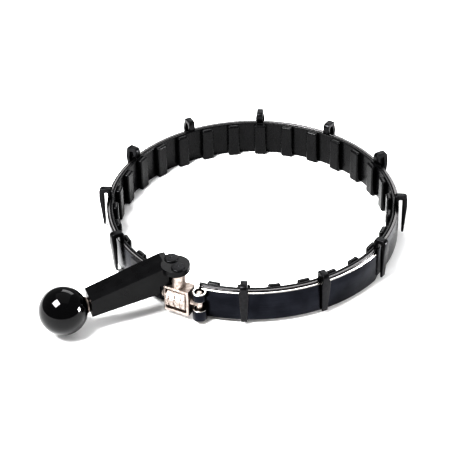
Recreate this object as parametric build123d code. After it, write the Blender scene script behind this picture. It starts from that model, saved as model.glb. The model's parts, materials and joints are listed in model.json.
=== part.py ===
from build123d import *
from math import atan2, cos, degrees, radians, sin
import os

# Lever-tightened strap wrench. Lengths in millimetres, angles in degrees.
# The origin is the centre of the gripping circle, half way up the strap.
# +Z runs along the ring's axis. Angles are measured from +X towards +Y.

# --- strap -------------------------------------------------------------
strap_outer_radius = 100.0
strap_thickness = 2.4
strap_height = 22.6
strap_right_end = -111.0      # the end beside the tension band's eye
strap_left_end = -127.0       # the end that carries the lever's bracket
strap_corner = 3.0
strap_edge_round = 0.5

# --- grip liner and its ribs --------------------------------------------
rib_reach = 5.6               # from the strap's inner face to the ribs' crowns
liner_thickness = 2.0
rib_pitch = 12.0
rib_count = 29                # one place is left open for the lever's head
rib_first_angle = -93.8 - rib_pitch
rib_width = 8.4
rib_below_strap = 2.2         # the liner and its ribs hang this far below the strap
rib_side_round = 1.1

# --- hooks -------------------------------------------------------------
hook_pitch = 30.0
hook_count = 11
hook_first_angle = -93.5
hook_neck_width = 4.4
hook_width = 6.4              # across the shoulders of the leg
hook_rise = 7.3               # top of the hook above the strap's edge
hook_neck_inset = 3.4         # from the strap's outer face in to the neck's inner face
hook_neck_thickness = 3.2
hook_crown = 3.0              # thickness of the arch over the strap's edge
hook_leg_gap = 2.4            # from the strap's outer face to the leg
hook_leg_root = 3.2
hook_leg_tip = 1.4
hook_tip_width = 4.0
hook_round = 2.4

# --- tension band ------------------------------------------------------
slide_gap = 0.3               # between the strap and the band sliding on it
band_thickness = 1.7
band_margin = 0.4             # the band is lower than the strap by this much at each edge
band_free_end = -36.5
eye_angle = -109.4
eye_room = 0.95               # play of the T-bar in the eye
t_bar_radius = 2.1
t_bar_end_gap = 0.6           # how far the T-bar stops short of the eye's ends

# --- lever's head: pivot A joins the strap, pivot B joins the link ------
pivot_a_inset = 2.0           # pivot A inside the strap's outer face
pivot_a_angle = -122.5
pivot_b_offset = 4.0          # pivot B outside the strap's outer face
pivot_b_angle = -117.5
lever_angle = 201.0           # direction of the lever as stored
pivot_pin_radius = 2.5
pin_running_gap = 0.05
knuckle_radius = 5.2
head_radius = 9.4
head_share = 0.6              # the head's disc is centred this far from A towards B
head_rise = 13.9              # top of the lever's head above the strap's edge
head_plate = 4.0
lever_plate = 3.0
shelf_gap = 0.1               # from the strap's edge up to the shelf
shelf_thickness = 2.0
ear_radius = 5.4
face_gap = 0.3                # between faces that turn on each other

# --- lever's arm -------------------------------------------------------
arm_length = 57.0
arm_root_half_width = 8.6
arm_tip_half_width = 7.5
arm_start = 2.0
arm_slope_start = 6.0         # the top face is level up to here
arm_web_start = 11.2
arm_root_bottom = 5.6
arm_tip_top = 12.4
arm_tip_bottom = -0.2
arm_block_length = 9.0
shelf_web_start = 4.8         # the side wall between head and shelf begins here
shelf_near = 3.0              # near edge of the shelf's bridge to the side wall
shelf_far = 8.0               # far edge of that bridge

# --- knob --------------------------------------------------------------
knob_radius = 16.0
ferrule_length = 2.2
knob_rise = 4.8               # knob's axis above the lower edge of the arm's tip
ferrule_root_radius = 4.4
ferrule_tip_radius = 5.6
stud_radius = 3.0
stud_in_knob = 13.0
stud_in_arm = 8.0

# --- link: yoke, nut and T-bolt ----------------------------------------
bolt_height = 1.3             # height of the bolt's axis above the strap's middle
bolt_radius = 2.6
bolt_tail = 3.0               # thread that shows behind the yoke
nut_radius = 7.4
nut_length = 14.4
nut_flutes = 24
nut_flute_radius = 0.45
nut_groove_depth = 0.5
nut_groove_width = 0.9
nut_groove_places = (0.2, 0.5, 0.8)   # shares of the nut's length
nut_bore_gap = 0.08
yoke_plate = 1.6
yoke_half_width = 5.0
yoke_bar = 1.8
yoke_corner_round = 1.2
yoke_boss_radius = 4.6
window_margin = 1.0           # room above and below the bolt in the eye

# --- bracket -----------------------------------------------------------
bracket_thickness = 2.2
bracket_start = -128.3
bracket_end = -142.0
bracket_bottom = -8.0
bracket_arm_width = 5.0
bracket_arm_rise = 4.3         # top of the arm above the strap's edge
bracket_riser_angle = 4.0      # how far along the strap the tall part runs
rivet_radius = 1.6
rivet_head_radius = 2.7
rivet_head_height = 1.2
rivet_angles = (-132.0, -138.8)
rivet_rise = 5.0
pin_head_radius = 4.6
pin_head_height = 0.8
pin_head_round = 0.5
pin_foot_radius = 3.5
pin_foot_height = 0.5
pin_foot_gap = 0.15

# --- values that follow from the sizes above ----------------------------
strap_inner_radius = strap_outer_radius - strap_thickness
strap_top = strap_height / 2
strap_bottom = -strap_height / 2
grip_radius = strap_inner_radius - rib_reach
liner_radius = strap_inner_radius - liner_thickness
rib_bottom = strap_bottom - rib_below_strap
hook_top = strap_top + hook_rise
leg_inner_radius = strap_outer_radius + hook_leg_gap
leg_outer_radius = leg_inner_radius + hook_leg_root
band_inner_radius = strap_outer_radius + slide_gap
band_outer_radius = band_inner_radius + band_thickness
band_half = strap_height / 2 - band_margin
neck_inner_radius = strap_outer_radius - hook_neck_inset
neck_outer_radius = neck_inner_radius + hook_neck_thickness
eye_bore_radius = t_bar_radius + eye_room
eye_outer_radius = eye_bore_radius + band_thickness
eye_radius = band_inner_radius + eye_outer_radius
head_top = strap_top + head_rise
shelf_bottom = strap_top + shelf_gap
shelf_top = shelf_bottom + shelf_thickness
plate_bottom = head_top - head_plate
knuckle_bottom = shelf_top + face_gap
knuckle_top = plate_bottom - face_gap
pivot_bore_radius = pivot_pin_radius + pin_running_gap
yoke_top = shelf_bottom - face_gap
bracket_arm_top = strap_top + bracket_arm_rise


def polar(radius, angle):
    """Point in the plan at a radius and angle from the ring's axis."""
    return Vector(radius * cos(radians(angle)), radius * sin(radians(angle)), 0)


def sector(inner, outer, start, end, bottom, top):
    """Block between two radii, two angles and two heights."""
    sweep = end - start
    outline = [
        CenterArc((0, 0), outer, start, sweep),
        Line(polar(outer, end), polar(inner, end)),
        CenterArc((0, 0), inner, end, -sweep),
        Line(polar(inner, start), polar(outer, start)),
    ]
    return Pos(0, 0, bottom) * extrude(make_face(outline), top - bottom, dir=(0, 0, 1))


def disc(radius, centre, bottom, top):
    """Upright cylinder between two heights."""
    base = Pos(centre.X, centre.Y, bottom)
    return base * Cylinder(radius, top - bottom, align=(Align.CENTER, Align.CENTER, Align.MIN))


def plan_prism(points, bottom, top):
    """Upright prism over a polygon in the plan."""
    face = make_face(Polyline(*points, close=True))
    return Pos(0, 0, bottom) * extrude(face, top - bottom, dir=(0, 0, 1))


def side_prism(points, width):
    """Prism over a polygon in the XZ plane, centred on Y."""
    face = make_face(Plane.XZ * Polyline(*points, close=True))
    return extrude(face, width / 2, both=True)


pivot_a = polar(strap_outer_radius - pivot_a_inset, pivot_a_angle)
pivot_b = polar(strap_outer_radius + pivot_b_offset, pivot_b_angle)
eye_centre = polar(eye_radius, eye_angle)
link_vector = eye_centre - pivot_b
link_length = link_vector.length
link_angle = degrees(atan2(link_vector.Y, link_vector.X))

# Frames of the moving groups: X runs along the lever from A, and along the bolt from B.
lever_frame = Pos(pivot_a.X, pivot_a.Y, 0) * Rot(0, 0, lever_angle)
link_frame = Pos(pivot_b.X, pivot_b.Y, 0) * Rot(0, 0, link_angle)
ab = pivot_b - pivot_a
b_in_lever = ab.rotate(Axis.Z, -lever_angle)


# --- ring ----------------------------------------------------------------
def make_strap():
    """Open hoop of flat strip with rounded corners at its two ends."""
    sweep_end = strap_left_end + 360
    hoop = sector(strap_inner_radius, strap_outer_radius, strap_right_end, sweep_end,
                  strap_bottom, strap_top)
    mid = strap_outer_radius - strap_thickness / 2
    for angle in (strap_right_end, strap_left_end):
        corners = [e for e in hoop.edges()
                   if e.length < strap_thickness * 1.05
                   and (e.center() - polar(mid, angle)).length < strap_height / 2 + 1]
        hoop = fillet(corners, strap_corner)
    rims = [e for e in hoop.edges().filter_by(GeomType.CIRCLE)
            if e.length > strap_outer_radius]
    hoop = fillet(rims, strap_edge_round)
    for place in rivet_places():
        hoop -= place * Cylinder(rivet_radius, 4 * strap_thickness)
    return hoop


def make_liner():
    """Web of the grip liner, bonded inside the strap; the ribs stand on it."""
    return sector(liner_radius, strap_inner_radius, strap_right_end, strap_left_end + 360,
                  rib_bottom, strap_top)


def make_rib():
    """Upright pad with a crown that follows the gripped part, drawn on +X."""
    half = rib_width / 2
    back = degrees(half / liner_radius)
    crown = degrees(half / grip_radius)
    outline = [
        CenterArc((0, 0), liner_radius, -back, 2 * back),
        Line(polar(liner_radius, back), polar(grip_radius, crown)),
        CenterArc((0, 0), grip_radius, crown, -2 * crown),
        Line(polar(grip_radius, -crown), polar(liner_radius, -back)),
    ]
    height = strap_top - rib_bottom
    pad = Pos(0, 0, rib_bottom) * extrude(make_face(outline), height, dir=(0, 0, 1))
    crown_face = pad.faces().sort_by(Axis.X)[0]
    return fillet(crown_face.edges(), rib_side_round)


def make_hook():
    """Arched neck on the strap's edge with an outside leg that tapers, drawn on +X."""
    profile = make_face(Plane.XZ * Polyline(
        (neck_inner_radius, strap_top),
        (neck_inner_radius, hook_top),
        (leg_outer_radius, hook_top),
        (leg_outer_radius, strap_top),
        (leg_inner_radius + hook_leg_tip, strap_bottom),
        (leg_inner_radius, strap_bottom),
        (leg_inner_radius, hook_top - hook_crown),
        (neck_outer_radius, hook_top - hook_crown),
        (neck_outer_radius, strap_top), close=True))
    crown = profile.vertices().group_by(Axis.Z)[-1]
    side = extrude(fillet(crown, hook_round), hook_width, both=True)
    neck = hook_neck_width / 2
    shoulder = hook_width / 2
    tip = hook_tip_width / 2
    under_crown = hook_top - hook_crown
    front = make_face(Plane.YZ * Polyline(
        (-neck, hook_top), (neck, hook_top), (neck, under_crown), (shoulder, strap_top),
        (tip, strap_bottom), (-tip, strap_bottom), (-shoulder, strap_top),
        (-neck, under_crown), close=True))
    hook = side & extrude(front, leg_outer_radius + 1, dir=(1, 0, 0))
    return hook & make_hook_neck_limit()


def make_hook_neck_limit():
    """Space a hook may fill: the neck's width inside the strap's outer face, any outside it."""
    inside = Box(strap_outer_radius, hook_neck_width, 4 * strap_height,
                 align=(Align.MIN, Align.CENTER, Align.CENTER))
    outside = Pos(strap_outer_radius, 0, 0) * Box(
        2 * hook_leg_root + hook_leg_gap, 2 * hook_width, 4 * strap_height,
        align=(Align.MIN, Align.CENTER, Align.CENTER))
    return inside + outside


# --- tension band ---------------------------------------------------------
def make_tension_band():
    """Outer strip with an eye rolled in its end, open in the middle for the bolt."""
    half = band_half
    strip = sector(band_inner_radius, band_outer_radius, eye_angle, band_free_end, -half, half)
    corners = [e for e in strip.edges()
               if e.length < band_thickness * 1.05
               and (e.center() - polar(band_inner_radius, band_free_end)).length < half + 1]
    strip = fillet(corners, strap_corner)
    eye = disc(eye_outer_radius, eye_centre, -half, half)
    eye -= disc(eye_bore_radius, eye_centre, -half, half)
    room = bolt_radius + window_margin
    window = disc(2 * eye_outer_radius, eye_centre, bolt_height - room, bolt_height + room)
    window -= disc(band_inner_radius, Vector(0, 0, 0), -half, half)
    strip -= disc(eye_bore_radius, eye_centre, -half, half)
    return strip + (eye - window)


# --- bracket on the strap's left end ----------------------------------------
def make_bracket():
    """Riveted plate whose top carries an arm and the knuckle of pivot A."""
    outer = strap_outer_radius + bracket_thickness
    plate = sector(strap_outer_radius, outer, bracket_end, bracket_start,
                   bracket_bottom, strap_top)
    riser = sector(strap_outer_radius, outer, bracket_start - bracket_riser_angle,
                   bracket_start, bracket_bottom, bracket_arm_top)
    root = polar(strap_outer_radius + bracket_thickness / 2,
                 bracket_start - bracket_riser_angle / 2)
    reach = pivot_a - root
    arm_angle = degrees(atan2(reach.Y, reach.X))
    arm_bottom = strap_top + face_gap
    arm = Pos(root.X, root.Y, arm_bottom) * Rot(0, 0, arm_angle) * Box(
        reach.length, bracket_arm_width, bracket_arm_top - arm_bottom,
        align=(Align.MIN, Align.CENTER, Align.MIN))
    arm -= disc(ear_radius + 2 * face_gap, pivot_a, arm_bottom - 1, knuckle_bottom)
    knuckle = disc(knuckle_radius, pivot_a, knuckle_bottom, knuckle_top)
    bracket = plate + riser + arm + knuckle
    bracket -= disc(pivot_bore_radius, pivot_a, knuckle_bottom - 1, knuckle_top + 1)
    for hole in rivet_places():
        bracket -= hole * Cylinder(rivet_radius, 4 * bracket_thickness)
    return bracket


def rivet_places():
    """Axes of the bracket's rivets, at the strap's outer face, local Z outwards."""
    return [Rot(0, 0, angle) * Pos(strap_outer_radius, 0, height) * Rot(0, 90, 0)
            for angle in rivet_angles for height in (-rivet_rise, rivet_rise)]


def make_bracket_rivets():
    """Four rivets, flush inside the strap, with low heads outside the bracket."""
    shank = Pos(0, 0, -strap_thickness) * Cylinder(
        rivet_radius, strap_thickness + bracket_thickness,
        align=(Align.CENTER, Align.CENTER, Align.MIN))
    head = Pos(0, 0, bracket_thickness) * Cone(
        rivet_head_radius, rivet_radius, rivet_head_height,
        align=(Align.CENTER, Align.CENTER, Align.MIN))
    return Compound(children=[place * (shank + head) for place in rivet_places()])


# --- lever ------------------------------------------------------------------
def arm_half_width(s):
    """Half width of the arm at a distance from pivot A."""
    share = (s - arm_start) / (arm_length - arm_start)
    return arm_root_half_width + share * (arm_tip_half_width - arm_root_half_width)


def arm_top(s):
    """Height of the arm's top face at a distance from pivot A."""
    share = max(0, s - arm_slope_start) / (arm_length - arm_slope_start)
    return head_top + share * (arm_tip_top - head_top)


def arm_bottom(s):
    """Height of the arm's lower edge at a distance from pivot A."""
    share = (s - arm_web_start) / (arm_length - arm_web_start)
    return arm_root_bottom + share * (arm_tip_bottom - arm_root_bottom)


def make_lever():
    """Angle-section arm with a solid tip, and a head that bears both pivots."""
    start_half = arm_half_width(arm_start)
    plan = [(arm_start, -start_half), (arm_length, -arm_tip_half_width),
            (arm_length, arm_tip_half_width), (arm_start, start_half),
            (0, start_half), (0, 0), (arm_start, 0)]
    side = [(0, head_top), (arm_slope_start, head_top), (arm_length, arm_tip_top),
            (arm_length, arm_tip_bottom), (arm_web_start, arm_root_bottom),
            (arm_web_start, shelf_bottom), (0, shelf_bottom)]
    width = 4 * arm_root_half_width
    arm = plan_prism(plan, arm_tip_bottom - 1, head_top) & side_prism(side, width)
    hollow_end = arm_length - arm_block_length
    inner = [(-1, -width), (hollow_end, -width),
             (hollow_end, arm_half_width(hollow_end) - lever_plate),
             (shelf_web_start, start_half - lever_plate), (shelf_web_start, width), (-1, width)]
    under = [(-1, plate_bottom), (arm_slope_start, plate_bottom),
             (hollow_end, arm_top(hollow_end) - lever_plate),
             (hollow_end, arm_tip_bottom - 2), (-1, arm_tip_bottom - 2)]
    hollow = plan_prism(inner, arm_tip_bottom - 2, head_top) & side_prism(under, 2 * width)
    arm -= hollow
    arm -= Pos(arm_length, 0, knob_height()) * Rot(0, 90, 0) * Cylinder(stud_radius, 2 * stud_in_arm)
    here = Vector(0, 0, 0)
    head = disc(head_radius, b_in_lever * head_share, plate_bottom, head_top)
    head += disc(ear_radius, here, plate_bottom, head_top)
    ear = disc(ear_radius, here, shelf_bottom, shelf_top)
    bridge = plan_prism([(0, 0), (shelf_far, shelf_near), (shelf_far, start_half),
                         (shelf_web_start, start_half), (0, ear_radius)],
                        shelf_bottom, shelf_top)
    lever = lever_frame * (head + ear + bridge + arm)
    lever -= disc(pivot_pin_radius, pivot_a, shelf_bottom - 1, head_top + 1)
    lever -= disc(pivot_pin_radius, pivot_b, plate_bottom - 1, head_top + 1)
    return lever


def knob_height():
    """Height of the knob's axis above the strap's middle."""
    return arm_tip_bottom + knob_rise


def tip_frame():
    """Frame at the lever's tip, Z pointing along the arm to the knob."""
    return lever_frame * Pos(arm_length, 0, knob_height()) * Rot(0, 90, 0)


def make_ferrule():
    """Collar between the arm and the knob."""
    collar = Cone(ferrule_root_radius, ferrule_tip_radius, ferrule_length,
                  align=(Align.CENTER, Align.CENTER, Align.MIN))
    return tip_frame() * (collar - Cylinder(stud_radius, 4 * ferrule_length))


def knob_depth():
    """Distance from the ferrule's face to the knob's centre."""
    return (knob_radius ** 2 - ferrule_tip_radius ** 2) ** 0.5


def make_knob():
    """Ball with a flat that seats on the ferrule and a blind hole for the stud."""
    centre = ferrule_length + knob_depth()
    ball = Pos(0, 0, centre) * Sphere(knob_radius)
    cut = Box(4 * knob_radius, 4 * knob_radius, 4 * knob_radius,
              align=(Align.CENTER, Align.CENTER, Align.MAX))
    ball -= Pos(0, 0, ferrule_length) * cut
    ball -= Pos(0, 0, ferrule_length) * Cylinder(
        stud_radius, stud_in_knob, align=(Align.CENTER, Align.CENTER, Align.MIN))
    return tip_frame() * ball


def make_stud():
    """Threaded stud from the arm's block into the knob."""
    length = stud_in_arm + ferrule_length + stud_in_knob
    return tip_frame() * Pos(0, 0, -stud_in_arm) * Cylinder(
        stud_radius, length, align=(Align.CENTER, Align.CENTER, Align.MIN))


def headed_pin(centre, bottom):
    """Pin with a domed head on top of the lever's head."""
    pin = disc(pivot_pin_radius, centre, bottom, head_top)
    head = disc(pin_head_radius, centre, head_top, head_top + pin_head_height)
    rim = head.edges().group_by(Axis.Z)[-1]
    return pin + fillet(rim, pin_head_round)


def make_pivot_pin():
    """Pin of pivot A, through the head and the bracket's knuckle."""
    return headed_pin(pivot_a, shelf_bottom)


# --- link -------------------------------------------------------------------
def make_link_pin():
    """Pin of pivot B, pressed in the head, with a foot that holds the yoke."""
    bottom = yoke_top - yoke_bar + pin_foot_gap
    foot = disc(pin_foot_radius, pivot_b, bottom, bottom + pin_foot_height)
    return headed_pin(pivot_b, bottom) + foot


def make_yoke():
    """Rectangular frame around the nut, its boss turning on pivot B's pin."""
    inner_half = nut_length / 2 + face_gap
    outer_half = inner_half + yoke_plate
    bottom = bolt_height - nut_radius - face_gap - yoke_bar
    height = yoke_top - bottom
    frame = Pos(0, 0, bottom) * Box(2 * outer_half, 2 * yoke_half_width, height,
                                    align=(Align.CENTER, Align.CENTER, Align.MIN))
    frame = fillet(frame.edges().filter_by(Axis.Z), yoke_corner_round)
    window = Pos(0, 0, bottom + yoke_bar) * Box(
        2 * inner_half, 4 * yoke_half_width, height - 2 * yoke_bar,
        align=(Align.CENTER, Align.CENTER, Align.MIN))
    frame -= window
    along = Pos(0, 0, bolt_height) * Rot(0, 90, 0)
    frame -= along * Cylinder(bolt_radius, 4 * outer_half)
    here = Vector(0, 0, 0)
    frame += disc(yoke_boss_radius, here, yoke_top, knuckle_top)
    frame -= disc(pivot_bore_radius, here, yoke_top - yoke_bar, knuckle_top + 1)
    recess = pin_foot_height + 2 * pin_foot_gap
    frame -= disc(pin_foot_radius + pin_foot_gap, here, yoke_top - yoke_bar - 1,
                  yoke_top - yoke_bar + recess)
    return link_frame * frame


def make_nut():
    """Fluted cylinder with three turned grooves."""
    along = Pos(-nut_length / 2, 0, bolt_height) * Rot(0, 90, 0)
    low = (Align.CENTER, Align.CENTER, Align.MIN)
    nut = Cylinder(nut_radius, nut_length, align=low)
    for index in range(nut_flutes):
        turn = Rot(0, 0, index * 360 / nut_flutes)
        nut -= turn * Pos(nut_radius, 0, 0) * Cylinder(nut_flute_radius, nut_length, align=low)
    groove = Cylinder(2 * nut_radius, nut_groove_width)
    groove -= Cylinder(nut_radius - nut_groove_depth, nut_groove_width)
    for place in nut_groove_places:
        nut -= Pos(0, 0, place * nut_length) * groove
    nut -= Cylinder(bolt_radius + nut_bore_gap, nut_length, align=low)
    return link_frame * along * nut


def make_t_bolt():
    """Threaded bolt with an upright cross bar that lies in the band's eye."""
    tail = nut_length / 2 + face_gap + yoke_plate + bolt_tail
    shaft = Pos(-tail, 0, bolt_height) * Rot(0, 90, 0) * Cylinder(
        bolt_radius, tail + link_length, align=(Align.CENTER, Align.CENTER, Align.MIN))
    half = band_half - t_bar_end_gap
    bar = disc(t_bar_radius, Vector(link_length, 0, 0), -half, half)
    return link_frame * (shaft + bar)


parts = {
    "strap": make_strap(),
    "grip_liner": make_liner(),
    "tension_band": make_tension_band(),
    "bracket": make_bracket(),
    "bracket_rivets": make_bracket_rivets(),
    "lever": make_lever(),
    "ferrule": make_ferrule(),
    "ball_knob": make_knob(),
    "knob_stud": make_stud(),
    "pivot_pin": make_pivot_pin(),
    "link_pin": make_link_pin(),
    "yoke": make_yoke(),
    "adjuster_nut": make_nut(),
    "t_bolt": make_t_bolt(),
}
rib = make_rib()
for number in range(rib_count):
    turn = rib_first_angle + rib_pitch * number
    parts[f"rib_{number + 1:02d}"] = Rot(0, 0, turn) * rib
hook = make_hook()
for number in range(hook_count):
    parts[f"hook_{number + 1:02d}"] = Rot(0, 0, hook_first_angle + hook_pitch * number) * hook

os.makedirs("parts", exist_ok=True)
for name, shape in parts.items():
    export_step(shape, f"parts/{name}.step")
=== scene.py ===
import json
import math

import bmesh
import bpy
from mathutils import Matrix, Vector


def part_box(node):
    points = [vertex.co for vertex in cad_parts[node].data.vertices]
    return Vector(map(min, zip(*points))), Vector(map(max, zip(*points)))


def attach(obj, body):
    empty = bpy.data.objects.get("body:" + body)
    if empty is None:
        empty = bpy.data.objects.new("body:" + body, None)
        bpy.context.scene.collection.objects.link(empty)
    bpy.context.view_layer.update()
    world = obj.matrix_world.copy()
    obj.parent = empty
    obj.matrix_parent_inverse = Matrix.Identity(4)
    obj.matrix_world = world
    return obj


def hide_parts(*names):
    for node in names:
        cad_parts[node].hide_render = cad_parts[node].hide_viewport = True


bl_info = {
    "name": "Strap Wrench Looks",
    "version": (1, 0, 0),
    "blender": (4, 5, 0),
    "location": "View3D > Sidebar > Strap Wrench",
    "description": "Builds the finished pieces of a lever-tightened strap wrench "
                   "round its CAD frame",
    "category": "Object",
}

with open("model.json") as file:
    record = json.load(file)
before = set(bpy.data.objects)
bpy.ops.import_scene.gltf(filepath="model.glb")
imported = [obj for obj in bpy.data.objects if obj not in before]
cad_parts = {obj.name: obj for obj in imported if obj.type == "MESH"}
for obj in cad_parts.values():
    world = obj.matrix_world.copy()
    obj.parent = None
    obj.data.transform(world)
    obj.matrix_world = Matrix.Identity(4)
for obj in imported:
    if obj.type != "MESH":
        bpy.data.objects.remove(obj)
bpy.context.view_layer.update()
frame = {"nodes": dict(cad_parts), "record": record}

MM = 0.001
FULL_TURN = 2 * math.pi


def joint(name):
    """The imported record's joint of that name."""
    return next(j for j in frame["record"]["behaviour"]["joints"] if j["name"] == name)


def bearing(node):
    """Angle of a node's middle about the ring's axis, in degrees."""
    points = [v.co for v in frame["nodes"][node].data.vertices]
    middle = sum(points, Vector()) / len(points)
    return math.degrees(math.atan2(middle.y, middle.x))


def nodes_called(prefix):
    """Names of the CAD nodes that start with a prefix, in order."""
    return sorted(name for name in frame["nodes"] if name.startswith(prefix))


RIBS = nodes_called("rib_")
HOOKS = nodes_called("hook_")
STRAP_LOW, STRAP_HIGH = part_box("strap")
BAND_LOW, BAND_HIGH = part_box("tension_band")
RIB_LOW, RIB_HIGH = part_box(RIBS[0])
_, HOOK_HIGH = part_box(HOOKS[0])
PIVOT_A = Vector(joint("lever_swing")["pos_m"])
PIVOT_B = Vector(joint("link_turn")["pos_m"])
BOLT_POINT = Vector(joint("nut_spin")["pos_m"])
BOLT_AXIS = Vector(joint("nut_spin")["axis"]).normalized()
GRIP = next(m for m in frame["record"]["mounts"] if m["name"] == "grip")
GRIP_RADIUS = GRIP["dims"]["r_mm"] * MM


# --- settings ---------------------------------------------------------------
def length(name, description, default):
    """A length property in metres."""
    return bpy.props.FloatProperty(name=name, description=description, default=default,
                                   subtype="DISTANCE", unit="LENGTH", precision=5)


def angle(name, description, default_degrees):
    """An angle property, its default given in degrees."""
    return bpy.props.FloatProperty(name=name, description=description,
                                   default=math.radians(default_degrees),
                                   subtype="ANGLE", unit="ROTATION")


def linear(code):
    """sRGB hex colour as linear red, green, blue and alpha."""
    channels = [int(code[i:i + 2], 16) / 255 for i in (1, 3, 5)]
    return [c / 12.92 if c <= 0.04045 else ((c + 0.055) / 1.055) ** 2.4 for c in channels] + [1.0]


def colour(name, description, code):
    """A colour property, its default given as sRGB hex."""
    return bpy.props.FloatVectorProperty(name=name, description=description, size=4,
                                         default=linear(code), subtype="COLOR", min=0, max=1)


class StripSizes(bpy.types.PropertyGroup):
    """Sizes of the strap and of the tension band outside it."""
    outer_radius: length("Strap radius", "Outside of the strap", STRAP_HIGH.x)
    thickness: length("Strap thickness", "Thickness of the spring steel", 2.4 * MM)
    edge_round: length("Edge round", "Rounding of the strip's long edges", 0.45 * MM)
    corner: length("Corner", "Rounding of the strip's ends", 3.0 * MM)
    start: angle("Strap start", "End of the strap beside the eye", -111.0)
    end: angle("Strap end", "End of the strap under the bracket", 233.0)
    band_inner: length("Band radius", "Inside of the tension band", 100.3 * MM)
    band_thickness: length("Band thickness", "Thickness of the tension band", 1.7 * MM)
    band_end: angle("Band end", "Free end of the tension band", -36.5)
    eye_angle: angle("Eye angle", "Where the band's eye lies", -109.4)
    eye_bore: length("Eye bore", "Radius inside the eye", 3.05 * MM)
    eye_window: length("Eye window", "Half height of the eye's opening for the bolt", 3.6 * MM)
    step: angle("Step", "Angle between two sections of a strip", 1.0)


class RibSizes(bpy.types.PropertyGroup):
    """Sizes of the ribs and hooks round the ring."""
    rib_width: length("Rib width", "Width of a rib along the strap", 8.4 * MM)
    rib_round: length("Rib round", "Rounding of a rib's edges", 1.5 * MM)
    rib_pitch: angle("Rib pitch", "Angle from one rib to the next", 12.0)
    hook_pitch: angle("Hook pitch", "Angle from one hook to the next", 30.0)
    hook_neck: length("Hook neck", "Width of a hook's arched neck", 4.4 * MM)
    hook_width: length("Hook width", "Width across the shoulders of a hook's leg", 6.4 * MM)
    hook_tip_width: length("Hook tip", "Width of a hook's leg at its tip", 4.0 * MM)
    hook_round: length("Hook round", "Rounding of the hook's crown", 2.4 * MM)
    hook_inner: length("Hook inner radius", "Radius of the neck's inner face", 96.6 * MM)
    neck_depth: length("Neck depth", "Thickness of the hook's neck", 3.2 * MM)
    crown_depth: length("Crown depth", "Thickness of the arch over the strap's edge", 3.0 * MM)
    liner: length("Liner", "Thickness of the liner's web", 2.0 * MM)
    leg_gap: length("Leg gap", "From the strap to the hook's leg", 2.4 * MM)
    leg_root: length("Leg root", "Depth of the leg at its root", 3.2 * MM)
    leg_tip: length("Leg tip", "Depth of the leg at its tip", 1.4 * MM)


class HandleSizes(bpy.types.PropertyGroup):
    """Sizes of the lever's knob, pins and screw."""
    edge_break: length("Edge break", "Rounding of stamped and cast edges", 0.45 * MM)
    knob_radius: length("Knob radius", "Radius of the ball", 16.0 * MM)
    ferrule_length: length("Collar length", "Length of the collar under the ball", 2.2 * MM)
    pin_radius: length("Pin head", "Radius of the pivot pins' heads", 4.6 * MM)
    nut_radius: length("Nut radius", "Radius over the nut's knurl", 7.4 * MM)
    nut_length: length("Nut length", "Length of the nut", 14.4 * MM)
    bolt_radius: length("Bolt radius", "Radius over the bolt's thread", 2.6 * MM)
    bolt_pitch: length("Thread pitch", "Rise of the thread in one turn", 0.9 * MM)
    bar_radius: length("Cross bar radius", "Radius of the T-bolt's bar", 2.1 * MM)


class WrenchColours(bpy.types.PropertyGroup):
    """Base colours of the finishes."""
    blued: colour("Blued steel", "Polished spring steel strip", "#1b1c20")
    blued_light: colour("Blued steel, worn", "Lighter streaks of the strip", "#2b2c31")
    sheared: colour("Sheared edge", "Bare steel where the band was slit", "#c9c6c2")
    moulded: colour("Moulded ribs", "Glossy black ribs", "#0d0d0e")
    oxide: colour("Black oxide", "Hooks and bracket", "#29292a")
    enamel: colour("Enamel", "Stoved black enamel of the lever", "#0b0b0c")
    phenolic: colour("Phenolic", "Moulded ball knob", "#050506")
    zinc: colour("Zinc", "Bright zinc plate", "#b5aca6")
    zinc_dull: colour("Zinc, dull", "Duller patches of the plate", "#857c77")
    steel: colour("Steel", "Turned steel of studs and rivets", "#a9a7a4")
    floor: colour("Floor", "Pale studio floor", "#f6f6f6")


class WrenchSettings(bpy.types.PropertyGroup):
    """All settings of the strap wrench."""
    strips: bpy.props.PointerProperty(type=StripSizes)
    ribs: bpy.props.PointerProperty(type=RibSizes)
    handle: bpy.props.PointerProperty(type=HandleSizes)
    colours: bpy.props.PointerProperty(type=WrenchColours)


# --- materials --------------------------------------------------------------
def add(tree, kind, settings=None, **links):
    """Adds a node; settings are properties or input values, links are sockets that feed inputs."""
    node = tree.nodes.new(kind)
    for key, value in (settings or {}).items():
        if isinstance(key, str) and hasattr(node, key):
            setattr(node, key, value)
        else:
            node.inputs[key].default_value = value
    for name, source in links.items():
        tree.links.new(source, node.inputs[name.replace("_", " ")])
    return node


def new_material(name, metallic, roughness, **surface):
    """Material with one Principled surface; returns it, its tree and the shader."""
    material = bpy.data.materials.new(name)
    material.use_nodes = True
    tree = material.node_tree
    shader = tree.nodes["Principled BSDF"]
    shader.inputs["Metallic"].default_value = metallic
    shader.inputs["Roughness"].default_value = roughness
    for key, value in surface.items():
        shader.inputs[key.replace("_", " ")].default_value = value
    return material, tree, shader


def object_noise(tree, size, stretch=(1, 1, 1), detail=3.0, roughness=0.5):
    """Noise on object coordinates whose features are about a size in metres."""
    place = add(tree, "ShaderNodeTexCoord")
    mapping = add(tree, "ShaderNodeMapping", {"Scale": stretch}, Vector=place.outputs["Object"])
    return add(tree, "ShaderNodeTexNoise",
               {"Scale": 1 / size, "Detail": detail, "Roughness": roughness},
               Vector=mapping.outputs["Vector"])


def ramp(tree, factor, stops):
    """Colour ramp on a factor; stops are pairs of position and colour."""
    node = add(tree, "ShaderNodeValToRGB", Fac=factor)
    while len(node.color_ramp.elements) < len(stops):
        node.color_ramp.elements.new(0.5)
    for element, (position, value) in zip(node.color_ramp.elements, stops):
        element.position = position
        element.color = value
    return node


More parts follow.
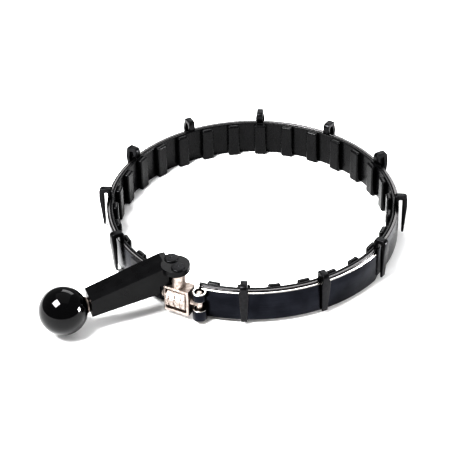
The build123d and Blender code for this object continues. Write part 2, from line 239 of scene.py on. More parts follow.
def vary_roughness(tree, shader, factor, low, high):
    """Roughness that runs from low to high over a factor."""
    span = add(tree, "ShaderNodeMapRange", {"To Min": low, "To Max": high}, Value=factor)
    tree.links.new(span.outputs["Result"], shader.inputs["Roughness"])


def bump(tree, shader, height, depth, strength):
    """Bump from a height, its depth in metres."""
    node = add(tree, "ShaderNodeBump", {"Strength": strength, "Distance": depth}, Height=height)
    tree.links.new(node.outputs["Normal"], shader.inputs["Normal"])


def rolled_blued_steel(colours):
    """Polished, blued spring steel: near black, with the mill's fine lines along the strip
    and bare bright steel where the band's edge was sheared."""
    material, tree, shader = new_material("rolled_blued_spring_steel", 1.0, 0.2,
                                          Anisotropic=0.75)
    along = add(tree, "ShaderNodeTangent", {"direction_type": "RADIAL", "axis": "Z"})
    tree.links.new(along.outputs["Tangent"], shader.inputs["Tangent"])
    # Rolling lines are about 0.1 mm apart; 0.5 mm shows at this size.
    lines = object_noise(tree, 0.5 * MM, stretch=(0.02, 0.02, 1.0), detail=2.0)
    clouds = object_noise(tree, 14 * MM, detail=4.0)
    mixed = add(tree, "ShaderNodeMath", {"operation": "MULTIPLY_ADD", 1: 0.45},
                Value=lines.outputs["Fac"])
    tree.links.new(clouds.outputs["Fac"], mixed.inputs[2])
    tone = ramp(tree, mixed.outputs["Value"],
                [(0.45, colours.blued), (0.95, colours.blued_light)])
    edge = add(tree, "ShaderNodeAttribute", {"attribute_name": "sheared_edge"})
    base = add(tree, "ShaderNodeMix", {"data_type": "RGBA"}, Factor=edge.outputs["Fac"])
    tree.links.new(tone.outputs["Color"], base.inputs[6])
    base.inputs[7].default_value = colours.sheared
    tree.links.new(base.outputs[2], shader.inputs["Base Color"])
    vary_roughness(tree, shader, mixed.outputs["Value"], 0.12, 0.26)
    bump(tree, shader, lines.outputs["Fac"], 0.01 * MM, 0.25)
    return material


def moulded_rib_plastic(colours):
    """Injection moulded glossy ribs: deep black with a soft skin and faint flow marks."""
    material, tree, shader = new_material("moulded_black_polyamide", 0.0, 0.3, IOR=1.45,
                                          Specular_IOR_Level=0.25)
    flow = object_noise(tree, 3 * MM, stretch=(1, 1, 0.3), detail=3.0)
    tone = ramp(tree, flow.outputs["Fac"],
                [(0.3, colours.moulded), (0.8, [c * 2.0 for c in colours.moulded[:3]] + [1])])
    tree.links.new(tone.outputs["Color"], shader.inputs["Base Color"])
    vary_roughness(tree, shader, flow.outputs["Fac"], 0.18, 0.36)
    bump(tree, shader, flow.outputs["Fac"], 0.03 * MM, 0.2)
    return material


def black_oxide_steel(colours):
    """Stamped steel with a chemical black oxide: satin black, slightly mottled."""
    material, tree, shader = new_material("black_oxide_stamped_steel", 1.0, 0.35)
    mottle = object_noise(tree, 1.6 * MM, detail=5.0, roughness=0.6)
    tone = ramp(tree, mottle.outputs["Fac"],
                [(0.3, colours.oxide), (0.75, [c * 1.6 for c in colours.oxide[:3]] + [1])])
    tree.links.new(tone.outputs["Color"], shader.inputs["Base Color"])
    vary_roughness(tree, shader, mottle.outputs["Fac"], 0.26, 0.46)
    bump(tree, shader, mottle.outputs["Fac"], 0.02 * MM, 0.25)
    return material


def stoved_enamel(colours):
    """Stoved black enamel on steel: glossy coat with a slight orange peel."""
    material, tree, shader = new_material("stoved_black_enamel", 0.0, 0.3, IOR=1.45,
                                          Specular_IOR_Level=0.22)
    # Orange peel waves are about 1 mm across.
    peel = object_noise(tree, 1.1 * MM, detail=2.0)
    clouds = object_noise(tree, 9 * MM, detail=3.0)
    tone = ramp(tree, clouds.outputs["Fac"],
                [(0.3, colours.enamel), (0.8, [c * 1.8 for c in colours.enamel[:3]] + [1])])
    tree.links.new(tone.outputs["Color"], shader.inputs["Base Color"])
    vary_roughness(tree, shader, clouds.outputs["Fac"], 0.22, 0.36)
    bump(tree, shader, peel.outputs["Fac"], 0.02 * MM, 0.18)
    return material


def moulded_phenolic(colours):
    """Compression moulded, buffed phenolic: jet black with a mirror-like skin."""
    material, tree, shader = new_material("moulded_black_phenolic", 0.0, 0.06, IOR=1.5,
                                          Specular_IOR_Level=0.3)
    haze = object_noise(tree, 5 * MM, detail=4.0)
    tone = ramp(tree, haze.outputs["Fac"],
                [(0.3, colours.phenolic), (0.9, [c * 1.7 for c in colours.phenolic[:3]] + [1])])
    tree.links.new(tone.outputs["Color"], shader.inputs["Base Color"])
    vary_roughness(tree, shader, haze.outputs["Fac"], 0.03, 0.1)
    return material


def bright_zinc(colours):
    """Bright zinc plate on turned steel: warm silver with duller patches."""
    material, tree, shader = new_material("bright_zinc_plated_steel", 1.0, 0.25)
    patches = object_noise(tree, 2.2 * MM, detail=4.0)
    tone = ramp(tree, patches.outputs["Fac"],
                [(0.35, colours.zinc_dull), (0.65, colours.zinc)])
    tree.links.new(tone.outputs["Color"], shader.inputs["Base Color"])
    vary_roughness(tree, shader, patches.outputs["Fac"], 0.5, 0.34)
    return material


def turned_steel(colours):
    """Turned free-cutting steel: plain grey metal with fine tool marks."""
    material, tree, shader = new_material("turned_steel", 1.0, 0.3)
    marks = object_noise(tree, 0.4 * MM, detail=3.0)
    tone = ramp(tree, marks.outputs["Fac"],
                [(0.3, [c * 0.6 for c in colours.steel[:3]] + [1]), (0.7, colours.steel)])
    tree.links.new(tone.outputs["Color"], shader.inputs["Base Color"])
    vary_roughness(tree, shader, marks.outputs["Fac"], 0.24, 0.4)
    return material


def studio_floor(colours):
    """Matt white paper sweep."""
    material, tree, shader = new_material("white_paper_sweep", 0.0, 0.9)
    grain = object_noise(tree, 3 * MM, detail=2.0)
    tone = ramp(tree, grain.outputs["Fac"],
                [(0.0, [c * 0.99 for c in colours.floor[:3]] + [1]), (1.0, colours.floor)])
    tree.links.new(tone.outputs["Color"], shader.inputs["Base Color"])
    return material


MAKERS = {
    "blued_steel": rolled_blued_steel,
    "black_rubber": moulded_rib_plastic,
    "black_oxide": black_oxide_steel,
    "black_paint": stoved_enamel,
    "phenolic": moulded_phenolic,
    "zinc_plate": bright_zinc,
    "bright_steel": turned_steel,
}
made_materials = {}


def material_for(slot_name):
    """The material of a slot, made once."""
    if slot_name not in made_materials:
        colours = bpy.context.scene.strap_wrench.colours
        made_materials[slot_name] = MAKERS[slot_name](colours)
    return made_materials[slot_name]


# --- mesh helpers -------------------------------------------------------------
SHARP_ANGLE = math.radians(38)
SMALL_PART_EDGE = 0.6  # share of the edge break that the yoke and the bracket get


def finished_piece(mesh, name, slot_name, body, replaced, sharp=SHARP_ANGLE):
    """Links a mesh as a piece with the material of its slot, parents it to its body's empty and
    hides the CAD nodes it stands for.
    """
    mesh.name = name
    if sharp is not None:
        mesh.shade_smooth()
        mesh.set_sharp_from_angle(angle=sharp)
    piece = bpy.data.objects.new(name, mesh)
    bpy.context.collection.objects.link(piece)
    mesh.materials.clear()
    mesh.materials.append(material_for(slot_name))
    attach(piece, body)
    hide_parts(*replaced)
    return piece


def mesh_of(bm, name):
    """Mesh from a bmesh, its doubles merged and its faces outwards."""
    bmesh.ops.remove_doubles(bm, verts=bm.verts, dist=1e-7)
    bmesh.ops.recalc_face_normals(bm, faces=bm.faces)
    mesh = bpy.data.meshes.new(name)
    bm.to_mesh(mesh)
    bm.free()
    return mesh


def baked(mesh, modifiers):
    """Mesh after modifiers, each given as a type and its settings."""
    holder = bpy.data.objects.new("holder", mesh)
    bpy.context.collection.objects.link(holder)
    for kind, settings in modifiers:
        modifier = holder.modifiers.new(kind.lower(), kind)
        for key, value in settings.items():
            setattr(modifier, key, value)
    graph = bpy.context.evaluated_depsgraph_get()
    result = bpy.data.meshes.new_from_object(holder.evaluated_get(graph))
    bpy.data.objects.remove(holder)
    return result


def edge_bevel(width, segments=3):
    """Bevel modifier entry for edges sharper than 30 degrees."""
    return ("BEVEL", {"width": width, "segments": segments, "limit_method": "ANGLE",
                      "angle_limit": math.radians(30), "miter_outer": "MITER_ARC"})


def softened_copy(node, width):
    """Copy of a CAD node's mesh, merged, its flats made whole and its edges rounded."""
    bm = bmesh.new()
    bm.from_mesh(frame["nodes"][node].data)
    bmesh.ops.remove_doubles(bm, verts=bm.verts, dist=2e-6)
    bmesh.ops.dissolve_limit(bm, angle_limit=math.radians(0.5), verts=bm.verts, edges=bm.edges)
    mesh = mesh_of(bm, node)
    mesh.shade_smooth()
    mesh.set_sharp_from_angle(angle=math.radians(30))
    kind, settings = edge_bevel(width)
    return baked(mesh, [(kind, {**settings, "harden_normals": True})])


def turned(profile, segments=64):
    """Closed bmesh of revolution about Z; profile is radius and height, from axis to axis."""
    bm = bmesh.new()
    rings = []
    for radius, height in profile:
        if radius < 1e-9:
            rings.append([bm.verts.new((0, 0, height))])
            continue
        ring = []
        for k in range(segments):
            turn = FULL_TURN * k / segments
            ring.append(bm.verts.new((radius * math.cos(turn), radius * math.sin(turn), height)))
        rings.append(ring)
    for lower, upper in zip(rings, rings[1:]):
        for k in range(segments):
            corners = [lower[k % len(lower)], lower[(k + 1) % len(lower)],
                       upper[(k + 1) % len(upper)], upper[k % len(upper)]]
            unique = list(dict.fromkeys(corners))
            bm.faces.new(unique)
    return bm


def arc(centre, radius, start, end, steps):
    """Points of an arc in a profile, angles in degrees."""
    points = []
    for k in range(steps + 1):
        turn = math.radians(start + (end - start) * k / steps)
        points.append((centre[0] + radius * math.cos(turn), centre[1] + radius * math.sin(turn)))
    return points


def placed(bm, origin, direction):
    """Turns a bmesh so that its Z runs along a direction, and moves it to an origin."""
    turn = direction.to_track_quat("Z", "Y").to_matrix().to_4x4()
    bm.transform(Matrix.Translation(origin) @ turn)
    return bm


def joined(parts):
    """One bmesh from several."""
    whole = bmesh.new()
    for part in parts:
        mesh = bpy.data.meshes.new("part")
        part.to_mesh(mesh)
        part.free()
        whole.from_mesh(mesh)
        bpy.data.meshes.remove(mesh)
    return whole


# --- strips ---------------------------------------------------------------------
def section(half_thickness, half_height, edge_round, steps=3):
    """Rounded rectangle as (across, height) points."""
    points = []
    for across, up, start in ((1, 1, 0), (-1, 1, 90), (-1, -1, 180), (1, -1, 270)):
        centre = (across * (half_thickness - edge_round), up * (half_height - edge_round))
        points += arc(centre, edge_round, start, start + 90, steps)
    return points


def strip_along(path, normals, low, high, thickness, edge_round, corner=0.0, corner_ends=(0, 0)):
    """Flat strip of a thickness along a plan path; corner rounds the ends that are marked 1."""
    bm = bmesh.new()
    edge = bm.verts.layers.float.new("sheared_edge")
    middle = (low + high) / 2
    half = (high - low) / 2
    outline = section(thickness / 2, half, edge_round)
    travel = [0.0]
    for here, after in zip(path, path[1:]):
        travel.append(travel[-1] + (after - here).length)
    rings = []
    for point, normal, along in zip(path, normals, travel):
        room = min(along if corner_ends[0] else corner,
                   travel[-1] - along if corner_ends[1] else corner, corner)
        drop = corner - math.sqrt(max(0.0, corner ** 2 - (corner - room) ** 2))
        scale = (half - drop) / half
        ring = []
        for across, height in outline:
            place = point + normal * across
            vert = bm.verts.new((place.x, place.y, middle + height * scale))
            vert[edge] = 1.0 if abs(height) > half - edge_round * 0.8 else 0.0
            ring.append(vert)
        rings.append(ring)
    count = len(outline)
    for before, after in zip(rings, rings[1:]):
        for k in range(count):
            bm.faces.new((before[k], before[(k + 1) % count], after[(k + 1) % count], after[k]))
    bm.faces.new(rings[0])
    bm.faces.new(list(reversed(rings[-1])))
    return bm


def arc_path(centre, radius, start, end, step, corner=0.0):
    """Plan points and outward normals along an arc, closer together near its ends."""
    total = abs(end - start)
    near = corner / radius
    fine = [near * (1 - math.cos(math.radians(15 * k))) for k in range(6)]
    coarse = max(2, round((total - 2 * near) / step))
    marks = fine + [near + (total - 2 * near) * k / coarse for k in range(coarse + 1)]
    marks += [total - m for m in reversed(fine)]
    sign = 1 if end > start else -1
    normals = [Vector((math.cos(start + sign * m), math.sin(start + sign * m), 0)) for m in marks]
    return [centre + n * radius for n in normals], normals


def make_strap(sizes):
    """The hoop itself, its edges blued like its faces."""
    middle = sizes.outer_radius - sizes.thickness / 2
    path, normals = arc_path(Vector(), middle, sizes.start, sizes.end, sizes.step, sizes.corner)
    bm = strip_along(path, normals, STRAP_LOW.z, STRAP_HIGH.z, sizes.thickness,
                     sizes.edge_round, sizes.corner, (1, 1))
    edge = bm.verts.layers.float["sheared_edge"]
    bare_share = 0.12  # how bright the strap's edges are beside a sheared one
    for vert in bm.verts:
        vert[edge] *= bare_share
    mesh = mesh_of(bm, "strap_hoop")
    return finished_piece(mesh, "strap_hoop", "blued_steel", "ring", ["strap"])


def make_band(sizes):
    """Outer strip with its end rolled into an upper and a lower knuckle."""
    middle = sizes.band_inner + sizes.band_thickness / 2
    low, high = BAND_LOW.z, BAND_HIGH.z
    path, normals = arc_path(Vector(), middle, sizes.eye_angle, sizes.band_end, sizes.step,
                             sizes.corner)
    parts = [strip_along(path, normals, low, high, sizes.band_thickness, sizes.edge_round,
                         sizes.corner, (0, 1))]
    roll = sizes.eye_bore + sizes.band_thickness / 2
    outward = Vector((math.cos(sizes.eye_angle), math.sin(sizes.eye_angle), 0))
    centre = outward * (middle + roll)
    start = sizes.eye_angle + math.pi
    roll_turn, roll_step = math.radians(338), math.radians(8)
    path, normals = arc_path(centre, roll, start, start - roll_turn, roll_step)
    window_low = BOLT_POINT.z - sizes.eye_window
    window_high = BOLT_POINT.z + sizes.eye_window
    for bottom, top in ((low, window_low), (window_high, high)):
        parts.append(strip_along(path, normals, bottom, top, sizes.band_thickness,
                                 sizes.edge_round))
    mesh = mesh_of(joined(parts), "tension_strip")
    return finished_piece(mesh, "tension_strip", "blued_steel", "tension_band",
                          ["tension_band"])


# --- what repeats round the ring -----------------------------------------------
def copies_tree():
    """Geometry Nodes tree: copies of its geometry turned about Z at an even pitch."""
    tree = bpy.data.node_groups.new("copies_round_the_ring", "GeometryNodeTree")
    face = tree.interface
    face.new_socket("Geometry", in_out="INPUT", socket_type="NodeSocketGeometry")
    for name, kind in (("Count", "NodeSocketInt"), ("First Angle", "NodeSocketFloat"),
                       ("Pitch", "NodeSocketFloat"), ("Finish", "NodeSocketMaterial")):
        face.new_socket(name, in_out="INPUT", socket_type=kind)
    face.new_socket("Geometry", in_out="OUTPUT", socket_type="NodeSocketGeometry")
    source = add(tree, "NodeGroupInput")
    points = add(tree, "GeometryNodeMeshLine", {"Offset": (0, 0, 0)},
                 Count=source.outputs["Count"])
    index = add(tree, "GeometryNodeInputIndex")
    turn = add(tree, "ShaderNodeMath", {"operation": "MULTIPLY_ADD"},
               Value=index.outputs["Index"])
    tree.links.new(source.outputs["Pitch"], turn.inputs[1])
    tree.links.new(source.outputs["First Angle"], turn.inputs[2])
    spin = add(tree, "ShaderNodeCombineXYZ", Z=turn.outputs["Value"])
    copies = add(tree, "GeometryNodeInstanceOnPoints", Points=points.outputs["Mesh"],
                 Instance=source.outputs["Geometry"], Rotation=spin.outputs["Vector"])
    real = add(tree, "GeometryNodeRealizeInstances", Geometry=copies.outputs["Instances"])
    finish = add(tree, "GeometryNodeSetMaterial", Geometry=real.outputs["Geometry"],
                 Material=source.outputs["Finish"])
    add(tree, "NodeGroupOutput", Geometry=finish.outputs["Geometry"])
    return tree


def copied_round(mesh, count, first, pitch, slot_name):
    """Mesh of evenly turned copies, made by the Geometry Nodes tree."""
    tree = bpy.data.node_groups.get("copies_round_the_ring") or copies_tree()
    holder = bpy.data.objects.new("holder", mesh)
    bpy.context.collection.objects.link(holder)
    modifier = holder.modifiers.new("copies", "NODES")
    modifier.node_group = tree
    values = {"Count": count, "First Angle": first, "Pitch": pitch,
              "Finish": material_for(slot_name)}
    for item in tree.interface.items_tree:
        if item.in_out == "INPUT" and item.name in values:
            modifier[item.identifier] = values[item.name]
    graph = bpy.context.evaluated_depsgraph_get()
    result = bpy.data.meshes.new_from_object(holder.evaluated_get(graph))
    holder.modifiers.remove(modifier)
    bpy.data.objects.remove(holder)
    return result


def rib_mesh(strip, sizes):
    """One rib on +X: a pad with a crown that follows the grip circle."""
    back = strip.outer_radius - strip.thickness - sizes.liner
    half = sizes.rib_width / 2
    bm = bmesh.new()
    steps = 6
    rows = []
    for radius in (GRIP_RADIUS, back):
        row = []
        for k in range(steps + 1):
            y = half * (2 * k / steps - 1)
            row.append((math.sqrt(radius ** 2 - y ** 2), y))
        rows.append(row)
    outline = rows[0] + rows[1][::-1]
    low = [bm.verts.new((x, y, RIB_LOW.z)) for x, y in outline]
    high = [bm.verts.new((x, y, RIB_HIGH.z)) for x, y in outline]
    count = len(outline)
    for k in range(count):
        after = (k + 1) % count
        bm.faces.new((low[k], low[after], high[after], high[k]))
    bm.faces.new(low[::-1])
    bm.faces.new(high)
    mesh = mesh_of(bm, "rib")
    return baked(mesh, [("BEVEL", {"width": sizes.rib_round, "segments": 5,
                                   "limit_method": "ANGLE",
                                   "angle_limit": math.radians(40)})])


def make_liner(strip, sizes):
    """Web of the liner that carries the ribs."""
    middle = strip.outer_radius - strip.thickness - sizes.liner / 2
    edge_round = 0.6 * MM
    path, normals = arc_path(Vector(), middle, strip.start, strip.end, strip.step, edge_round)
    bm = strip_along(path, normals, RIB_LOW.z, RIB_HIGH.z, sizes.liner, edge_round)
    return finished_piece(mesh_of(bm, "liner_web"), "liner_web", "black_rubber", "ring",
                          ["grip_liner"])


def make_ribs(strip, sizes):
    """All the ribs as one mesh."""
    mesh = copied_round(rib_mesh(strip, sizes), len(RIBS), math.radians(bearing(RIBS[0])),
                        sizes.rib_pitch, "black_rubber")
    return finished_piece(mesh, "grip_ribs", "black_rubber", "ring", RIBS)


def hook_mesh(strip, sizes):
    """One hook on +X: arched neck over the strap's edge and a leg tapering to its tip."""
    top, edge, tip = HOOK_HIGH.z, STRAP_HIGH.z, STRAP_LOW.z
    leg_inner = strip.outer_radius + sizes.leg_gap
    leg_outer = leg_inner + sizes.leg_root
    neck = sizes.hook_inner + sizes.neck_depth
    under = top - sizes.crown_depth
    bend = sizes.hook_round
    inner_bend = 0.9 * MM
    edge_break = 0.45 * MM
    bend_steps = 5
    leg_steps = 6
    # Pairs of an outer and an inner point, from the neck's foot over the arch to the leg's tip.
    outer = [(sizes.hook_inner, edge), (sizes.hook_inner, under)]
    inner = [(neck, edge), (neck, under - inner_bend)]
    outer += arc((sizes.hook_inner + bend, top - bend), bend, 180, 90, bend_steps)
    inner += arc((neck + inner_bend, under - inner_bend), inner_bend, 180, 90, bend_steps)
    outer += arc((leg_outer - bend, top - bend), bend, 90, 0, bend_steps)
    inner += arc((leg_inner - inner_bend, under - inner_bend), inner_bend, 90, 0, bend_steps)
    for k in range(leg_steps + 1):
        share = k / leg_steps
        height = edge + share * (tip - edge)
        depth = sizes.leg_root + share * (sizes.leg_tip - sizes.leg_root)
        outer.append((leg_inner + depth, height))
        inner.append((leg_inner, height))
    bm = bmesh.new()
    rings = []
    arch = len(outer) - leg_steps - 1
    for k, (out_point, in_point) in enumerate(zip(outer, inner)):
        share = (k - arch) / leg_steps
        half = sizes.hook_neck / 2
        if k >= arch:
            half = (sizes.hook_width + share * (sizes.hook_tip_width - sizes.hook_width)) / 2
        corners = [(out_point, -half), (out_point, half), (in_point, half), (in_point, -half)]
        rings.append([bm.verts.new((radius, side, height)) for (radius, height), side in corners])
    for before, after in zip(rings, rings[1:]):
        for k in range(4):
            turn = (k + 1) % 4
            bm.faces.new((before[k], before[turn], after[turn], after[k]))
    bm.faces.new(rings[0])
    bm.faces.new(rings[-1][::-1])
    return baked(mesh_of(bm, "hook"), [edge_bevel(edge_break)])


def make_hooks(strip, sizes):
    """All the hooks as one mesh."""
    mesh = copied_round(hook_mesh(strip, sizes), len(HOOKS), math.radians(bearing(HOOKS[0])),
                        sizes.hook_pitch, "black_oxide")
    return finished_piece(mesh, "rim_hooks", "black_oxide", "ring", HOOKS)


# --- handle ----------------------------------------------------------------------
def tip_axis():
    """Knob's centre and the direction from it back to the lever's tip."""
    low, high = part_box("ball_knob")
    centre = (low + high) / 2
    back = Vector((PIVOT_A.x, PIVOT_A.y, centre.z)) - centre
    return centre, back.normalized()


def make_lever(sizes):
    """Lever with its stamped edges rounded."""
    mesh = softened_copy("lever", sizes.edge_break)
    return finished_piece(mesh, "lever_arm", "black_paint", "lever", ["lever"], sharp=None)


def make_knob(sizes):
    """Ball with a flat seat, a shallow relief round the collar and a moulding line."""
    centre, back = tip_axis()
    radius = sizes.knob_radius
    seat = 6.1 * MM
    relief_depth = 0.6 * MM
    relief_floor_inset = 1.2 * MM
    relief_rim_inset = 0.7 * MM
    line_depth = 0.06 * MM
    line_spread = 1.2  # degrees either side of the moulding line
    steps = 64
    segments = 96
    depth = math.sqrt(radius ** 2 - seat ** 2)
    rim = math.degrees(math.asin(seat / radius))
    profile = [(0.0, depth - relief_depth), (seat - relief_floor_inset, depth - relief_depth),
               (seat - relief_rim_inset, depth)]
    for k in range(steps + 1):
        polar = math.radians(rim + (180 - rim) * k / steps)
        line = line_depth * math.exp(-((math.degrees(polar) - 90) / line_spread) ** 2)
        profile.append(((radius - line) * math.sin(polar), (radius - line) * math.cos(polar)))
    profile[-1] = (0.0, -radius)
    bm = placed(turned(profile, segments), centre, back)
    mesh = mesh_of(bm, "knob")
    return finished_piece(mesh, "knob", "phenolic", "lever", ["ball_knob"])


def make_collar(sizes):
    """Turned collar with a groove, between the lever's tip and the ball."""
    centre, back = tip_axis()
    seat = 5.6 * MM
    start = math.sqrt(sizes.knob_radius ** 2 - seat ** 2)
    end = start + sizes.ferrule_length
    root = 4.4 * MM
    face_gap = 0.1 * MM
    rim_chamfer = 0.4 * MM
    rim_end, rim_taper = 0.8 * MM, 0.1 * MM
    groove_start, groove_end = 1.0 * MM, 1.3 * MM
    groove_depth = 0.6 * MM
    foot_height, foot_flare, foot_chamfer = 0.3 * MM, 0.1 * MM, 0.2 * MM
    profile = [(0.0, start + face_gap), (seat - rim_chamfer, start + face_gap),
               (seat, start + rim_chamfer), (seat - rim_taper, start + rim_end),
               (seat - groove_depth, start + groove_start),
               (seat - groove_depth, start + groove_end),
               (root + foot_flare, end - foot_height), (root - foot_chamfer, end), (0.0, end)]
    mesh = mesh_of(placed(turned(profile), centre, back), "collar")
    return finished_piece(mesh, "collar", "zinc_plate", "lever", ["ferrule"])


def pin_piece(node, name, point, sizes):
    """Headed pin: domed head on the lever's head, shank to the node's foot."""
    low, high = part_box(node)
    head = 0.8 * MM
    shoulder = high.z - head
    shank = 2.5 * MM
    foot_chamfer = 0.2 * MM
    rim_break = 0.15 * MM
    crown = head * 0.7
    crown_spread = 1.25  # how far the dome comes in, for its height
    crown_steps = 6
    dimple_radius, dimple_floor, dimple_depth = 0.9 * MM, 0.6 * MM, 0.25 * MM
    segments = 48
    profile = [(0.0, low.z), (shank - foot_chamfer, low.z), (shank, low.z + foot_chamfer),
               (shank, shoulder), (sizes.pin_radius - rim_break, shoulder),
               (sizes.pin_radius, shoulder + rim_break)]
    for k in range(crown_steps + 1):
        turn = math.radians(90 * k / crown_steps)
        profile.append((sizes.pin_radius - crown * (1 - math.cos(turn)) * crown_spread,
                        high.z - crown + crown * math.sin(turn)))
    profile += [(dimple_radius, high.z), (dimple_floor, high.z - dimple_depth),
                (0.0, high.z - dimple_depth)]
    bm = turned(profile, segments)
    bm.transform(Matrix.Translation((point.x, point.y, 0)))
    mesh = mesh_of(bm, name)
    return finished_piece(mesh, name, "black_oxide", "lever", [node])


def make_pins(sizes):
    """Pins of the lever's two pivots."""
    pin_piece("pivot_pin", "pivot_a_pin", PIVOT_A, sizes)
    pin_piece("link_pin", "pivot_b_pin", PIVOT_B, sizes)


# --- link ------------------------------------------------------------------------
def rod_surface(rows, radius_at, segments):
    """Closed bmesh along Z; radius_at gives the radius for a height and a turn."""
    bm = bmesh.new()
    rings = []
    for height in rows:
        ring = []
        for k in range(segments):
            turn = FULL_TURN * k / segments
            radius = radius_at(height, turn)
            ring.append(bm.verts.new((radius * math.cos(turn), radius * math.sin(turn), height)))
        rings.append(ring)
    for lower, upper in zip(rings, rings[1:]):
        for k in range(segments):
            after = (k + 1) % segments
            bm.faces.new((lower[k], lower[after], upper[after], upper[k]))
    bm.faces.new(rings[0][::-1])
    bm.faces.new(rings[-1])
    return bm


def make_nut(sizes):
    """Adjuster nut: fine knurl cut by three turned grooves, ends chamfered and closed."""
    half = sizes.nut_length / 2
    teeth = 36
    facets = 8  # of one tooth
    knurl = 0.28 * MM
    groove = 0.55 * MM
    groove_half = 0.45 * MM
    groove_shares = (0.2, 0.5, 0.8)  # of the nut's length
    wall_rows = (-0.46, -0.44, 0.44, 0.46)  # millimetres from a groove's middle
    plain_rows = 24
    chamfer = 0.8 * MM

    def outside(height, turn):
        radius = sizes.nut_radius - knurl * (0.5 - 0.5 * math.cos(teeth * turn))
        for share in groove_shares:
            offset = abs(height + half - share * 2 * half)
            if offset < groove_half:
                radius = sizes.nut_radius - groove
        end = half - abs(height)
        return min(radius, sizes.nut_radius - max(0.0, chamfer - end))

    rows = set()
    for share in groove_shares:
        for side in wall_rows:
            rows.add(-half + share * 2 * half + side * MM)
    for k in range(plain_rows + 1):
        rows.add(-half + 2 * half * k / plain_rows)
    for sign in (-1, 1):
        rows.add(sign * (half - chamfer))
    bm = rod_surface(sorted(rows), outside, teeth * facets)
    mesh = mesh_of(placed(bm, BOLT_POINT, BOLT_AXIS), "adjuster")
    return finished_piece(mesh, "adjuster", "zinc_plate", "nut", ["adjuster_nut"],
                          sharp=math.radians(50))


def make_bolt(strip, sizes):
    """T-bolt: helical thread on the shank, plain cross bar with rounded ends."""
    low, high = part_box("t_bolt")
    outward = Vector((math.cos(strip.eye_angle), math.sin(strip.eye_angle), 0))
    eye = outward * (strip.band_inner + strip.eye_bore + strip.band_thickness)
    bar_at = Vector((eye.x, eye.y, 0))
    beyond_nut = 4.9 * MM
    tail = -0.5 * sizes.nut_length - beyond_nut
    end = (bar_at - Vector((BOLT_POINT.x, BOLT_POINT.y, 0))).length
    depth = 0.32 * MM
    lead_length, lead_drop = 0.6 * MM, 0.3 * MM
    rows_per_turn = 8
    shank_segments, bar_segments = 32, 40

    def thread(height, turn):
        phase = (height / sizes.bolt_pitch - turn / FULL_TURN) % 1.0
        cut = abs(2 * phase - 1)
        fade = min(1.0, max(0.0, (height - tail) / lead_length))
        root = sizes.bolt_radius - depth
        return root - lead_drop * (1 - fade) + depth * fade * cut

    count = round((end - tail) / (sizes.bolt_pitch / rows_per_turn))
    rows = [tail + (end - tail) * k / count for k in range(count + 1)]
    shank = placed(rod_surface(rows, thread, shank_segments), BOLT_POINT, BOLT_AXIS)
    radius = sizes.bar_radius
    blend = 0.6 * MM
    profile = [(0.0, low.z)] + arc((radius - blend, low.z + blend), blend, -90, 0, 4)
    profile += arc((radius - blend, high.z - blend), blend, 0, 90, 4) + [(0.0, high.z)]
    bar = turned(profile, bar_segments)
    bar.transform(Matrix.Translation(bar_at))
    mesh = mesh_of(joined([shank, bar]), "tee_bolt")
    return finished_piece(mesh, "tee_bolt", "zinc_plate", "link", ["t_bolt"])


def make_yoke(sizes):
    """Yoke round the nut."""
    mesh = softened_copy("yoke", sizes.edge_break * SMALL_PART_EDGE)
    return finished_piece(mesh, "nut_yoke", "zinc_plate", "link", ["yoke"], sharp=None)


def make_bracket(sizes):
    """Bracket riveted to the strap's end."""
    mesh = softened_copy("bracket", sizes.edge_break * SMALL_PART_EDGE)
    return finished_piece(mesh, "end_bracket", "black_oxide", "ring", ["bracket"], sharp=None)


def dress_kept_nodes():
    """Finishes on the CAD nodes that stay as they are."""
    for node, slot_name in (("knob_stud", "bright_steel"), ("bracket_rivets", "bright_steel")):
        mesh = frame["nodes"][node].data
        mesh.materials.clear()
        mesh.materials.append(material_for(slot_name))


# --- stage -------------------------------------------------------------------------
FLOOR_SIZE = 8.0
FLOOR_GAP = 0.0002  # under the ribs
# Name, place, target, width and height in metres, and watts.
LIGHTS = (
    ("key_softbox", (-0.61, -0.38, 1.04), (-0.1, -0.1, 0), (0.62, 0.55), 32),
    ("back_softbox", (0.3, 1.4, 1.1), (0, 0, 0), (1.2, 0.6), 8),
    ("right_strip", (1.3, -0.12, 0.12), (0, 0, 0), (0.35, 0.35), 24),
    ("top_fill", (0, 0.4, 2.2), (0, 0, 0), (2.4, 2.4), 8),
)
AIR_STRENGTH = 0.4
CAMERA_LENS = 139.1  # millimetres
CAMERA_SENSOR = 36.0  # millimetres
CAMERA_PLACE = Vector((0.0, -0.9677, 0.7096))
CAMERA_AIM = Vector((-0.01904, -0.01318, 0.0))
CAMERA_ROLL = math.radians(-1.32)


def area_light(name, place, target, size, watts):
    """Rectangular soft light at a place, aimed at a target."""
    data = bpy.data.lights.new(name, "AREA")
    data.shape = "RECTANGLE"
    data.size, data.size_y = size
    data.energy = watts
    light = bpy.data.objects.new(name, data)
    light.location = place
    light.rotation_euler = (Vector(target) - Vector(place)).to_track_quat("-Z", "Y").to_euler()
    bpy.context.collection.objects.link(light)


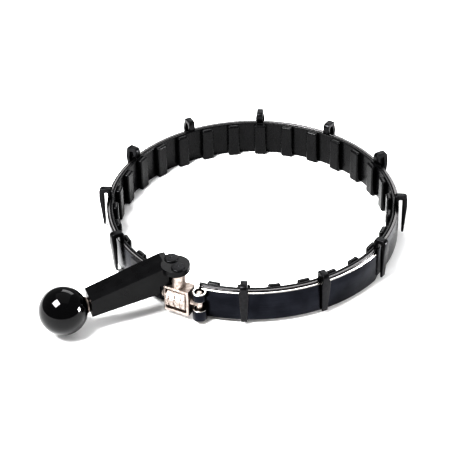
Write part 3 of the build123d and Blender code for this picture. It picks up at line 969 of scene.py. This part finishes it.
def make_stage(colours):
    """Paper sweep, soft lights and the camera."""
    bpy.ops.mesh.primitive_plane_add(size=FLOOR_SIZE, location=(0, 0, RIB_LOW.z - FLOOR_GAP))
    floor = bpy.context.object
    floor.name = "floor"
    floor.data.materials.append(studio_floor(colours))
    for light in LIGHTS:
        area_light(*light)
    world = bpy.data.worlds.new("studio_air")
    bpy.context.scene.world = world
    world.use_nodes = True
    air = world.node_tree.nodes["Background"]
    air.inputs["Color"].default_value = (1, 1, 1, 1)
    air.inputs["Strength"].default_value = AIR_STRENGTH
    bpy.context.scene.view_settings.view_transform = "Standard"
    bpy.context.scene.view_settings.look = "Very High Contrast"
    camera_data = bpy.data.cameras.new("camera")
    camera = bpy.data.objects.new("camera", camera_data)
    bpy.context.collection.objects.link(camera)
    camera_data.lens = CAMERA_LENS
    camera_data.sensor_width = CAMERA_SENSOR
    roll = Matrix.Rotation(CAMERA_ROLL, 4, "Z")
    look = (CAMERA_AIM - CAMERA_PLACE).to_track_quat("-Z", "Y").to_matrix().to_4x4()
    camera.matrix_world = Matrix.Translation(CAMERA_PLACE) @ look @ roll
    bpy.context.scene.camera = camera


# --- operators -----------------------------------------------------------------------
class STRAPWRENCH_OT_strips(bpy.types.Operator):
    """Make the strap and the tension band"""
    bl_idname = "strapwrench.strips"
    bl_label = "Strap and Tension Band"

    def execute(self, context):
        make_strap(context.scene.strap_wrench.strips)
        make_band(context.scene.strap_wrench.strips)
        return {"FINISHED"}


class STRAPWRENCH_OT_ribs(bpy.types.Operator):
    """Make the grip ribs"""
    bl_idname = "strapwrench.ribs"
    bl_label = "Grip Ribs"

    def execute(self, context):
        settings = context.scene.strap_wrench
        make_liner(settings.strips, settings.ribs)
        make_ribs(settings.strips, settings.ribs)
        return {"FINISHED"}


class STRAPWRENCH_OT_hooks(bpy.types.Operator):
    """Make the hooks on the rim"""
    bl_idname = "strapwrench.hooks"
    bl_label = "Rim Hooks"

    def execute(self, context):
        settings = context.scene.strap_wrench
        make_hooks(settings.strips, settings.ribs)
        return {"FINISHED"}


class STRAPWRENCH_OT_lever(bpy.types.Operator):
    """Make the lever with its pins, collar and knob"""
    bl_idname = "strapwrench.lever"
    bl_label = "Lever and Knob"

    def execute(self, context):
        sizes = context.scene.strap_wrench.handle
        make_lever(sizes)
        make_knob(sizes)
        make_collar(sizes)
        make_pins(sizes)
        return {"FINISHED"}


class STRAPWRENCH_OT_link(bpy.types.Operator):
    """Make the nut, the T-bolt, the yoke and the bracket"""
    bl_idname = "strapwrench.link"
    bl_label = "Adjuster and Bracket"

    def execute(self, context):
        settings = context.scene.strap_wrench
        make_nut(settings.handle)
        make_bolt(settings.strips, settings.handle)
        make_yoke(settings.handle)
        make_bracket(settings.handle)
        dress_kept_nodes()
        return {"FINISHED"}


class STRAPWRENCH_OT_stage(bpy.types.Operator):
    """Make the floor, the lights and the camera"""
    bl_idname = "strapwrench.stage"
    bl_label = "Stage"

    def execute(self, context):
        make_stage(context.scene.strap_wrench.colours)
        return {"FINISHED"}


class STRAPWRENCH_PT_panel(bpy.types.Panel):
    """Lists the strap wrench's pieces"""
    bl_idname = "STRAPWRENCH_PT_panel"
    bl_label = "Strap Wrench"
    bl_space_type = "VIEW_3D"
    bl_region_type = "UI"
    bl_category = "Strap Wrench"

    def draw(self, context):
        for operator in OPERATORS:
            self.layout.operator(operator.bl_idname)


OPERATORS = (STRAPWRENCH_OT_strips, STRAPWRENCH_OT_ribs, STRAPWRENCH_OT_hooks,
             STRAPWRENCH_OT_lever, STRAPWRENCH_OT_link, STRAPWRENCH_OT_stage)
CLASSES = (StripSizes, RibSizes, HandleSizes, WrenchColours, WrenchSettings,
           *OPERATORS, STRAPWRENCH_PT_panel)


def register():
    """Registers the classes and the scene's settings."""
    for cls in CLASSES:
        bpy.utils.register_class(cls)
    bpy.types.Scene.strap_wrench = bpy.props.PointerProperty(type=WrenchSettings)


def unregister():
    """Removes what register added."""
    del bpy.types.Scene.strap_wrench
    for cls in reversed(CLASSES):
        bpy.utils.unregister_class(cls)


def main():
    """Builds every piece and the stage."""
    register()
    bpy.ops.strapwrench.strips()
    bpy.ops.strapwrench.ribs()
    bpy.ops.strapwrench.hooks()
    bpy.ops.strapwrench.lever()
    bpy.ops.strapwrench.link()
    bpy.ops.strapwrench.stage()


if __name__ == "__main__":
    main()
